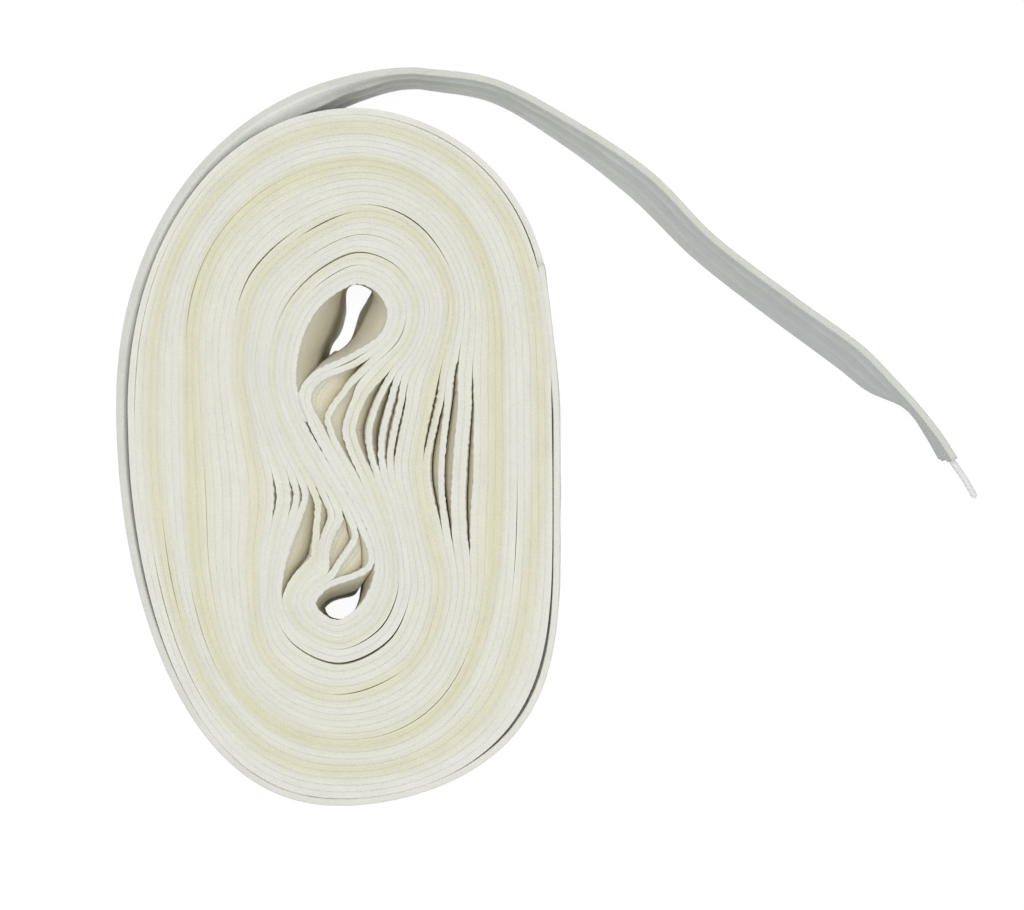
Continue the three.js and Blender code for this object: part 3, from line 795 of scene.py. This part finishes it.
def tape_material(name, edge_colour, edge_shade_and_tint, face_colour, face_in_painted_shade):
    """Woven tape: two colours for its edges and two for its faces, mixed by the values that the
    mesh keeps, with the weave raised all over. The second colour of each holds painted shade; on
    the yellow bands the edge's is partly the tape's own tint as well."""
    material = bpy.data.materials.new(name)
    material.use_nodes = True
    tree = material.node_tree
    shader = tree.nodes["Principled BSDF"]
    shader.inputs["Roughness"].default_value = 0.92
    shader.inputs["Specular IOR Level"].default_value = 0.2
    shader.inputs["Sheen Weight"].default_value = 0.1
    shader.inputs["Sheen Roughness"].default_value = 0.6
    shader.inputs["Subsurface Weight"].default_value = 0.35
    shader.inputs["Subsurface Radius"].default_value = LIGHT_SPREAD
    shader.inputs["Subsurface Scale"].default_value = SPREAD_LENGTH
    uv = add_node(tree, "ShaderNodeUVMap", "tape", [("uv_map", "tape")])
    split = add_node(tree, "ShaderNodeSeparateXYZ", "along and round", Vector=uv.outputs[0])
    weave = add_node(tree, "ShaderNodeGroup", "weave", [("node_tree", plain_weave)])
    tree.links.new(split.outputs[0], weave.inputs["Along"])
    tree.links.new(split.outputs[1], weave.inputs["Round"])
    kept = {}
    for value_name in ("shade_and_tint_on_edge", "shade_on_face", "face"):
        node = add_node(tree, "ShaderNodeAttribute", value_name, [("attribute_name", value_name)])
        kept[value_name] = node.outputs["Fac"]
    edge = blend_colours(tree, kept["shade_and_tint_on_edge"], edge_colour, edge_shade_and_tint)
    wall = blend_colours(tree, kept["shade_on_face"], face_colour, face_in_painted_shade)
    colour = blend_colours(tree, kept["face"], edge, wall)
    dim = calculate(tree, "MULTIPLY_ADD", weave.outputs["Mottle"], MOTTLE_RANGE, DARKEST_MOTTLE)
    shaded = add_node(tree, "ShaderNodeVectorMath", "mottled", [("operation", "SCALE")])
    tree.links.new(colour, shaded.inputs[0])
    tree.links.new(dim, shaded.inputs["Scale"])
    tree.links.new(shaded.outputs[0], shader.inputs["Base Color"])
    bump = add_node(tree, "ShaderNodeBump", "threads", Strength=0.5, Distance=0.00015,
                    Height=weave.outputs["Height"])
    tree.links.new(bump.outputs[0], shader.inputs["Normal"])
    return material


EDGE_WHITE = (0.735, 0.730, 0.670, 1)
# Partly painted shade: the yellow bands' own tint, darkened to paint the shade of their recess
BAND_TINT_AND_SHADE = (0.69, 0.675, 0.50, 1)
# Painted shade: the faces of the turns inside the roll, seen only down the gaps, are painted warmer
# and darker for the shade there
PAINTED_SHADE_IN_GAPS = (0.80, 0.76, 0.61, 1)
OUTER_FACE = (0.82, 0.83, 0.79, 1)

# How much of the face's colour the corners of the upper edge take, and the turn from which the
# painted shade of the gaps on the faces goes over into the outer face's own colour
FACE_AT_CORNER = 0.35
OUTER_FROM = TURNS - 1.3

corners, distance, turn, yellow = wound_strip()
wound_length = distance[-1]
wound_tape = strip_mesh("wound_tape_strip", corners, distance)
on_face = (np.arange(len(SECTION)) >= TOP_COLUMNS).astype(float)
on_face[[0, TOP_COLUMNS - 1]] = FACE_AT_CORNER
# Where the faces carry the painted shade of the gaps: every turn but the outermost
gap_shade_share = 1 - smooth_step(turn - OUTER_FROM)
# Painted shade, partly: the upper edges take the yellow bands' tint and the shade painted with it
keep_values(wound_tape, "shade_and_tint_on_edge", yellow)
keep_values(wound_tape, "face", np.ones(len(turn))[:, None] * on_face)
keep_values(wound_tape, "shade_on_face", gap_shade_share[:, None] * np.ones(len(SECTION)))
wound_tape.data.materials.append(
    tape_material("wound tape", EDGE_WHITE, BAND_TINT_AND_SHADE, OUTER_FACE, PAINTED_SHADE_IN_GAPS)
)
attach(wound_tape, "root")
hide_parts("wound_tape")

# The loose turn and free end are the same strip, no longer held by the roll. It stands on its
# lower edge, leans in towards the roll and ends in a square cut. Two drawcords run inside it.
LOOSE_TURN = {
    "top": (15.0, 73.9), "right": (42.2, -8.4), "bottom": (1.0, -66.5), "left": (-42.3, 9.7),
    "powers": [(1.75, 4), (1.8, 4), (2.3, 2), (2.1, 2.1)],
}
LOOSE_TOP = (3.2, 66.4)

# The free end after its crest: the outer face at the upper edge, and how far the lower edge
# stands in towards the roll, in mm
FREE_END = [
    {"place": "crest", "x": 15.0, "y": 73.9, "lean": 0.2},
    {"place": "past the crest", "x": 29.5, "y": 71.8, "lean": 0.8},
    {"place": "turning down", "x": 44.1, "y": 64.4, "lean": 1.8},
    {"place": "over the roll edge", "x": 59.7, "y": 54.0, "lean": 3.1},
    {"place": "first straight", "x": 71.6, "y": 42.0, "lean": 2.8},
    {"place": "second straight", "x": 86.8, "y": 30.4, "lean": 3.0},
    {"place": "before the bend", "x": 100.1, "y": 20.7, "lean": 3.1},
    {"place": "bend", "x": 105.6, "y": 15.1, "lean": 2.1},
    {"place": "after the bend", "x": 110.9, "y": 9.2, "lean": -1.2},
    {"place": "near the cut", "x": 114.9, "y": 4.1, "lean": -1.0},
    {"place": "cut end", "x": 117.8, "y": -0.4, "lean": -0.7},
]


def evenly_along(line, count=None, step=None):
    """Points of a line at even distances on the flat, so many in all or so far apart, and how far
    along the line each lies."""
    gone = np.concatenate([[0], np.cumsum(np.linalg.norm(np.diff(line[:, :2], axis=0), axis=1))])
    wanted = np.linspace(0, gone[-1], count or int(gone[-1] / step))
    return np.stack([np.interp(wanted, gone, column) for column in line.T], axis=1), wanted


# How many points of an open curve are worked out for each one that is kept
CLOSER_POINTS = 8


def open_curve(places, count):
    """Evenly spaced points of a smooth open line through places, with the ends carried straight
    on so that the closed curve's formula serves it too."""
    places = np.asarray(places, float)
    before = 2 * places[0] - places[1]
    after = 2 * places[-1] - places[-2]
    numbers = 1 + np.linspace(0, len(places) - 1, count * CLOSER_POINTS)
    numbers = np.minimum(numbers, len(places) - 1e-9)
    line = closed_curve(np.vstack([before, places, after]), numbers)
    return evenly_along(line, count=count)[0]


# Its rows are a millimetre apart, taken from closer points of the oval and of the free end. It
# starts at LOOSE_START of the oval's first quarter, and comes clear of the wound strip's end over
# JOIN_LENGTH, in mm.
LOOSE_STEP = 1.0
OVAL_SIDE_POINTS = 1500
FREE_END_POINTS = 160
LOOSE_START = 0.83
JOIN_LENGTH = 24


def loose_route():
    """The outer face of the loose strip on its upper edge, with its lean, every LOOSE_STEP mm.

    It follows an oval down the right side, round the bottom and up the left side, then the free
    end. Its first stretch is slid to where the wound strip ends.
    """
    turn_share = np.linspace(0, 1, OVAL_SIDE_POINTS)
    right = dict(LOOSE_TURN, top=LOOSE_TOP)
    down_right = oval(right, LOOSE_START + turn_share * (1 - LOOSE_START))
    rest = oval(LOOSE_TURN, 1 + turn_share[1:-1] * 3)
    lean = np.concatenate([
        np.zeros(len(down_right)),
        FREE_END[0]["lean"] * np.clip(turn_share[1:-1] * 3 - 2, 0, 1),
    ])
    body = np.column_stack([np.vstack([down_right, rest]), lean])
    end = open_curve([(row["x"], row["y"], row["lean"]) for row in FREE_END], FREE_END_POINTS)
    route, distance = evenly_along(np.vstack([body, end]), step=LOOSE_STEP)
    middle, outward, half, _ = strip_sides(np.array([float(TURNS)]), UPPER)
    wound_end = (middle + outward * half[1][:, None])[0] / MM
    slide = (wound_end - route[0, :2]) * (1 - smooth_step(distance / JOIN_LENGTH))[:, None]
    route[:, :2] += slide
    return route * MM, distance * MM


# The two drawcords raise ridges on the faces, higher on the inner one, which swell and shrink along
# the tape. The woven edges are a little thicker too. Heights and reaches are in mm.
CORD_HEIGHTS = (9.4, 19.2)
CORD_RIDGE = 0.42
OUTER_RIDGE = 0.21
RIDGE_REACH = 1.5
RIDGE_SWELL = 0.25
RIDGE_SWELL_LENGTH = 14 * MM
EDGE_SWELL = 0.08
EDGE_SWELL_REACH = 0.7
FACE_HEIGHTS = np.linspace(0.35, 24.65, 37)
TAPE_HEIGHT = TAPE_WIDTH / MM


def face_relief(height, distance, side):
    """How far a face stands proud at that height: a ridge over each cord, lower on the outer face,
    and a soft swelling of both woven edges."""
    ridge = sum(np.exp(-(((height - cord) / RIDGE_REACH) ** 2) * 2) for cord in CORD_HEIGHTS)
    swell = 1 + RIDGE_SWELL * waver(distance, RIDGE_SWELL_LENGTH, 11)
    from_top = TAPE_HEIGHT - height
    edges = np.exp(-height / EDGE_SWELL_REACH) + np.exp(-from_top / EDGE_SWELL_REACH)
    strength = CORD_RIDGE if side < 0 else OUTER_RIDGE
    return (strength * ridge * swell + EDGE_SWELL * edges) * MM


# How far the foot leans in at most, how clear of the roll it stays, and how far from the roll the
# leaning ends, over the last LEAN_FADE of that way
MOST_LEAN = 2.4 * MM
CLEAR_OF_ROLL = 0.2 * MM
AWAY_FROM_ROLL = 9.0 * MM
LEAN_FADE = 5.0 * MM


def flare(route, distance):
    """How far the foot of the loose turn leans in to touch the roll, where it still lies round it:
    the free way between them, up to MOST_LEAN.

    The roll's own last turn still winds outwards by one thickness on its way round, so the way is
    that much wider where the loose turn starts.
    """
    to_roll = np.linalg.norm(route[:, None, :2] - last[None] * MM, axis=2).min(axis=1)
    way_round = np.linalg.norm(np.roll(last, -1, axis=0) - last, axis=1).sum() * MM
    wound_in = TAPE_THICKNESS * np.clip(1 - distance / way_round, 0, 1)
    room = np.clip(to_roll + wound_in - TAPE_THICKNESS - CLEAR_OF_ROLL, 0, MOST_LEAN)
    return room * smooth_step((AWAY_FROM_ROLL - to_roll) / LEAN_FADE)


# The loose strip's cross-section, in mm: place across the thickness, where -1 is the face towards
# the roll, and height on the tape
INNER_COLUMN = [(-1, height) for height in FACE_HEIGHTS]
TOP_EDGE = [(-0.8, 24.9), (-0.4, 25.0), (0.0, 25.0), (0.4, 25.0), (0.8, 24.9)]
OUTER_COLUMN = [(1, height) for height in FACE_HEIGHTS[::-2]]
LOW_EDGE = [(0.7, 0.08), (0.0, 0.0), (-0.7, 0.08)]

# It leans in over most of its height, and only its top bends over into that. Its upper edge lies a
# little low and wavers, over long stretches and over short ones.
LEAN_POWER = 9
LOWERED_ABOVE = 24
UPPER_EDGE_LOW = 0.15 * MM
LONG_WAVE = 0.10 * MM
LONG_WAVE_LENGTH = 60 * MM
SHORT_WAVE = 0.05 * MM
SHORT_WAVE_LENGTH = 3 * MM


def loose_strip():
    """Every corner of the loose strip, a row for each millimetre of its length."""
    route, distance = loose_route()
    flared = flare(route, distance)
    ahead = np.gradient(route[:, :2], axis=0)
    ahead /= np.linalg.norm(ahead, axis=1)[:, None]
    inward = np.stack([ahead[:, 1], -ahead[:, 0]], axis=1)
    lean = route[:, 2:3]
    edge_low = UPPER_EDGE_LOW + LONG_WAVE * waver(distance, LONG_WAVE_LENGTH, 12)
    edge_low += SHORT_WAVE * waver(distance, SHORT_WAVE_LENGTH, 13)
    corners = []
    for across, height in INNER_COLUMN + TOP_EDGE + OUTER_COLUMN + LOW_EDGE:
        proud = face_relief(height, distance, across) if abs(across) == 1 else 0 * distance
        side_in = (1 - across) / 2 * TAPE_THICKNESS - across * proud
        down = 1 - height * MM / TAPE_WIDTH
        leaned = flared * (1 - (1 - down) ** LEAN_POWER)
        reach = side_in[:, None] + lean * down + leaned[:, None]
        point = np.column_stack([route[:, :2] + inward * reach, np.full(len(route), height * MM)])
        point[:, 2] -= edge_low * (height > LOWERED_ABOVE)
        corners.append(point)
    return np.stack(corners, axis=1), distance


# Painted shade: the greys that the loose strip's edge and face are painted in where they stand in
# shade
PAINTED_SHADE_ON_EDGE = (0.63, 0.64, 0.59, 1)
PAINTED_SHADE_ON_FACE = (0.58, 0.60, 0.59, 1)

# The loose strip's edge and its face are painted greyer further along it, as painted shade: where
# along it that starts and is complete
EDGE_SHADE_FROM = 80 * MM
EDGE_SHADE_TO = 240 * MM
FACE_SHADE_FROM = 300 * MM
FACE_SHADE_TO = 410 * MM

loose_corners, loose_distance = loose_strip()
loose_end = strip_mesh("loose_end_strip", loose_corners, loose_distance + wound_length)
loose_columns = loose_corners.shape[1]
loose_on_face = np.ones(loose_columns)
loose_on_face[len(INNER_COLUMN) : len(INNER_COLUMN) + len(TOP_EDGE)] = 0
edge_shade_amount = smooth_step((loose_distance - EDGE_SHADE_FROM) / (EDGE_SHADE_TO - EDGE_SHADE_FROM))
face_shade_amount = smooth_step((loose_distance - FACE_SHADE_FROM) / (FACE_SHADE_TO - FACE_SHADE_FROM))
keep_values(loose_end, "shade_and_tint_on_edge", edge_shade_amount[:, None] * np.ones(loose_columns))
keep_values(loose_end, "face", np.ones(len(loose_distance))[:, None] * loose_on_face)
keep_values(loose_end, "shade_on_face", face_shade_amount[:, None] * np.ones(loose_columns))
loose_end.data.materials.append(
    tape_material("loose tape", EDGE_WHITE, PAINTED_SHADE_ON_EDGE, OUTER_FACE, PAINTED_SHADE_ON_FACE)
)
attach(loose_end, "root")
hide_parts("loose_end")

# The drawcord's short end comes out of the cut, three plies twisted together, 1.3 mm
# thick, and droops a little. The rest of it runs inside the tape, where nothing shows.
CORD_RADIUS = 0.65
CORD_ROUTE = [
    {"place": "inside the tape", "along": -1.0, "out": 0.0, "height": 19.6},
    {"place": "in the cut end", "along": 0.3, "out": 0.0, "height": 19.6},
    {"place": "middle", "along": 4.5, "out": 0.2, "height": 19.4},
    {"place": "tip", "along": 8.7, "out": 0.1, "height": 18.9},
]
CORD_RINGS = 64
CORD_SIDES = 36
PLIES = 3
LAY_LENGTH = 3.2
GROOVE_DEPTH = 0.24
TIP_NARROWING = 0.6
TIP_LENGTH = 0.5


def cord_stub():
    """The twisted cord: radius = CORD_RADIUS * (1 - depth of the groove there), with a groove
    between each two plies, all turning once in each lay length, and drawn in to a blunt tip."""
    route, _ = loose_route()
    end = route[-1, :2] / MM
    ahead = route[-1, :2] - route[-4, :2]
    ahead = ahead / np.linalg.norm(ahead)
    inward = np.array([ahead[1], -ahead[0]])
    start = end + inward * TAPE_THICKNESS / MM / 2
    places = [
        (*(start + ahead * row["along"] - inward * row["out"]), row["height"]) for row in CORD_ROUTE
    ]
    line = open_curve(places, CORD_RINGS)
    forward = np.gradient(line, axis=0)
    forward /= np.linalg.norm(forward, axis=1)[:, None]
    sideways = np.cross(forward, (0, 0, 1))
    sideways /= np.linalg.norm(sideways, axis=1)[:, None]
    upward = np.cross(sideways, forward)
    gone = np.concatenate([[0], np.cumsum(np.linalg.norm(np.diff(line, axis=0), axis=1))])
    angle = np.arange(CORD_SIDES) / CORD_SIDES * 2 * np.pi
    twist = gone[:, None] / LAY_LENGTH * 2 * np.pi
    groove = GROOVE_DEPTH * (1 - np.sqrt(np.abs(np.sin((angle - twist) * PLIES / 2))))
    at_tip = smooth_step((gone - gone[-1] + TIP_LENGTH) / TIP_LENGTH)[:, None]
    radius = CORD_RADIUS * (1 - groove) * (1 - TIP_NARROWING * at_tip)
    ring = (
        sideways[:, None] * (np.cos(angle) * radius)[..., None]
        + upward[:, None] * (np.sin(angle) * radius)[..., None]
    )
    return (line[:, None] + ring) * MM, gone * MM


CORD_WHITE = (0.74, 0.755, 0.745, 1)
cord_corners, cord_distance = cord_stub()
drawcord = strip_mesh("drawcord_stub", cord_corners, cord_distance)
for value_name in ("shade_and_tint_on_edge", "shade_on_face", "face"):
    keep_values(drawcord, value_name, np.zeros(cord_corners.shape[:2]))
drawcord.data.materials.append(
    tape_material("drawcord", CORD_WHITE, CORD_WHITE, CORD_WHITE, CORD_WHITE)
)
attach(drawcord, "root")
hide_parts("drawcord_end")

# A plain white surface, with soft light straight from above and from all around. To the camera
# it is a lit white table, which shows only a trace of the roll's shadow.
FLOOR_SIZE = 6.0
FLOOR_DROP = 0.05 * MM
FLOOR_WHITE = (0.80, 0.80, 0.80, 1)
TABLE_LIGHT = 1.04
TABLE_GLOW = 0.90


def floor():
    """A flat square a hair below the tape."""
    half = FLOOR_SIZE / 2
    mesh = bpy.data.meshes.new("floor")
    mesh.from_pydata([(-half, -half, -FLOOR_DROP), (half, -half, -FLOOR_DROP),
                      (half, half, -FLOOR_DROP), (-half, half, -FLOOR_DROP)], [], [(0, 1, 2, 3)])
    surface = bpy.data.objects.new("floor", mesh)
    bpy.context.scene.collection.objects.link(surface)
    material = bpy.data.materials.new("white surface")
    material.use_nodes = True
    tree = material.node_tree
    shader = tree.nodes["Principled BSDF"]
    shader.inputs["Base Color"].default_value = FLOOR_WHITE
    shader.inputs["Roughness"].default_value = 0.9
    glow = add_node(tree, "ShaderNodeEmission", "lit table", Color=(1, 1, 1, 1),
                    Strength=TABLE_LIGHT)
    path = add_node(tree, "ShaderNodeLightPath", "seen by the camera")
    amount = calculate(tree, "MULTIPLY", path.outputs["Is Camera Ray"], TABLE_GLOW)
    mix = add_node(tree, "ShaderNodeMixShader", "table", n0=amount, n1=shader.outputs[0],
                   n2=glow.outputs[0])
    tree.links.new(mix.outputs[0], tree.nodes["Material Output"].inputs["Surface"])
    mesh.materials.append(material)


floor()


def soft_light(name, place, size, power):
    """A square light that faces the roll."""
    lamp = bpy.data.lights.new(name, "AREA")
    lamp.shape = "SQUARE"
    lamp.size = size
    lamp.energy = power
    light = bpy.data.objects.new(name, lamp)
    light.location = place
    bpy.context.scene.collection.objects.link(light)
    light.rotation_euler = (-light.location).to_track_quat("-Z", "Y").to_euler()


soft_light("overhead", (0.04, 0.03, 1.25), 0.5, 10)

ROUND_LIGHT = 0.45
world = bpy.data.worlds.new("studio")
world.use_nodes = True
world.node_tree.nodes["Background"].inputs["Color"].default_value = (1, 1, 1, 1)
world.node_tree.nodes["Background"].inputs["Strength"].default_value = ROUND_LIGHT
bpy.context.scene.world = world
bpy.context.scene.view_settings.view_transform = "Standard"
